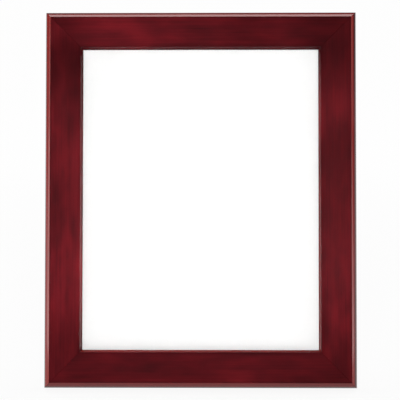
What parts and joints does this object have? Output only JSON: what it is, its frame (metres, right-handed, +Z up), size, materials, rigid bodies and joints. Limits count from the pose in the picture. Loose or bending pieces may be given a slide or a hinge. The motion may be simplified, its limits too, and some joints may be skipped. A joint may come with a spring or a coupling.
{
  "type": "easel-back picture frame",
  "caption": "Dark red stained wood picture frame with a flat mitred moulding, glass, turn buttons, wall hangers and a folding easel leg, standing open.",
  "frame": {"origin": "on the table, under the middle of the bounding box of the frame as it stands on its leg", "axes": "+Z up, +Y from the picture to the back, +X to the right as seen from the front"},
  "size_m": [0.2444, 0.089, 0.2887],
  "materials": {
    "stained_wood": "lacquered",
    "clear_glass": "clear",
    "white_paper": "matte",
    "grey_card": "matte",
    "black_board": "flocked paper on board",
    "zinc_steel": "zinc plated",
    "brassed_steel": "satin"
  },
  "bodies": {
    "frame": {"top_rail": "stained_wood", "bottom_rail": "stained_wood", "left_stile": "stained_wood", "right_stile": "stained_wood", "v_nail_bottom_left_outer": "zinc_steel", "v_nail_bottom_left_inner": "zinc_steel", "v_nail_bottom_right_outer": "zinc_steel", "v_nail_bottom_right_inner": "zinc_steel", "v_nail_top_right_outer": "zinc_steel", "v_nail_top_right_inner": "zinc_steel", "v_nail_top_left_outer": "zinc_steel", "v_nail_top_left_inner": "zinc_steel", "glass_pane": "clear_glass", "photo_insert": "white_paper", "filler_board": "grey_card", "backing_board": "black_board", "turn_button_screw_bottom_left": "zinc_steel", "turn_button_screw_bottom_right": "zinc_steel", "turn_button_screw_top_right": "zinc_steel", "turn_button_screw_top_left": "zinc_steel", "turn_button_screw_right_lower": "zinc_steel", "turn_button_screw_right_upper": "zinc_steel", "turn_button_screw_left_upper": "zinc_steel", "turn_button_screw_left_lower": "zinc_steel", "hinge_fixed_leaf": "brassed_steel", "hinge_pin": "zinc_steel", "fixed_leaf_rivet_left": "zinc_steel", "fixed_leaf_rivet_right": "zinc_steel", "sawtooth_hanger_top": "brassed_steel", "sawtooth_hanger_side": "brassed_steel", "hanger_nail_top_a": "zinc_steel", "hanger_nail_top_b": "zinc_steel", "hanger_nail_side_a": "zinc_steel", "hanger_nail_side_b": "zinc_steel"},
    "easel": {"easel_leg": "black_board", "hinge_moving_leaf": "brassed_steel", "moving_leaf_rivet_left": "zinc_steel", "moving_leaf_rivet_right": "zinc_steel"},
    "button_bottom_left": {"turn_button_bottom_left": "zinc_steel"},
    "button_bottom_right": {"turn_button_bottom_right": "zinc_steel"},
    "button_top_right": {"turn_button_top_right": "zinc_steel"},
    "button_top_left": {"turn_button_top_left": "zinc_steel"},
    "button_right_lower": {"turn_button_right_lower": "zinc_steel"},
    "button_right_upper": {"turn_button_right_upper": "zinc_steel"},
    "button_left_upper": {"turn_button_left_upper": "zinc_steel"},
    "button_left_lower": {"turn_button_left_lower": "zinc_steel"}
  },
  "joints": [
    {"name": "easel_hinge", "type": "hinge", "parent": "frame", "child": "easel", "pos_m": [0, 0.01239, 0.15935], "axis": [1, 0, 0], "range_deg": [-25, 0]},
    {"name": "button_bottom_left_turn", "type": "hinge", "parent": "frame", "child": "button_bottom_left", "pos_m": [-0.055, -0.02596, 0.01463], "axis": [0, 0.9703, -0.2419], "continuous": true},
    {"name": "button_bottom_right_turn", "type": "hinge", "parent": "frame", "child": "button_bottom_right", "pos_m": [0.055, -0.02596, 0.01463], "axis": [0, 0.9703, -0.2419], "continuous": true},
    {"name": "button_top_right_turn", "type": "hinge", "parent": "frame", "child": "button_top_right", "pos_m": [0.055, 0.03805, 0.27137], "axis": [0, 0.9703, -0.2419], "continuous": true},
    {"name": "button_top_left_turn", "type": "hinge", "parent": "frame", "child": "button_top_left", "pos_m": [-0.055, 0.03805, 0.27137], "axis": [0, 0.9703, -0.2419], "continuous": true},
    {"name": "button_right_lower_turn", "type": "hinge", "parent": "frame", "child": "button_right_lower", "pos_m": [0.1069, -0.01089, 0.07508], "axis": [0, 0.9703, -0.2419], "continuous": true},
    {"name": "button_right_upper_turn", "type": "hinge", "parent": "frame", "child": "button_right_upper", "pos_m": [0.1069, 0.02298, 0.21092], "axis": [0, 0.9703, -0.2419], "continuous": true},
    {"name": "button_left_upper_turn", "type": "hinge", "parent": "frame", "child": "button_left_upper", "pos_m": [-0.1069, 0.02298, 0.21092], "axis": [0, 0.9703, -0.2419], "continuous": true},
    {"name": "button_left_lower_turn", "type": "hinge", "parent": "frame", "child": "button_left_lower", "pos_m": [-0.1069, -0.01089, 0.07508], "axis": [0, 0.9703, -0.2419], "continuous": true}
  ]
}
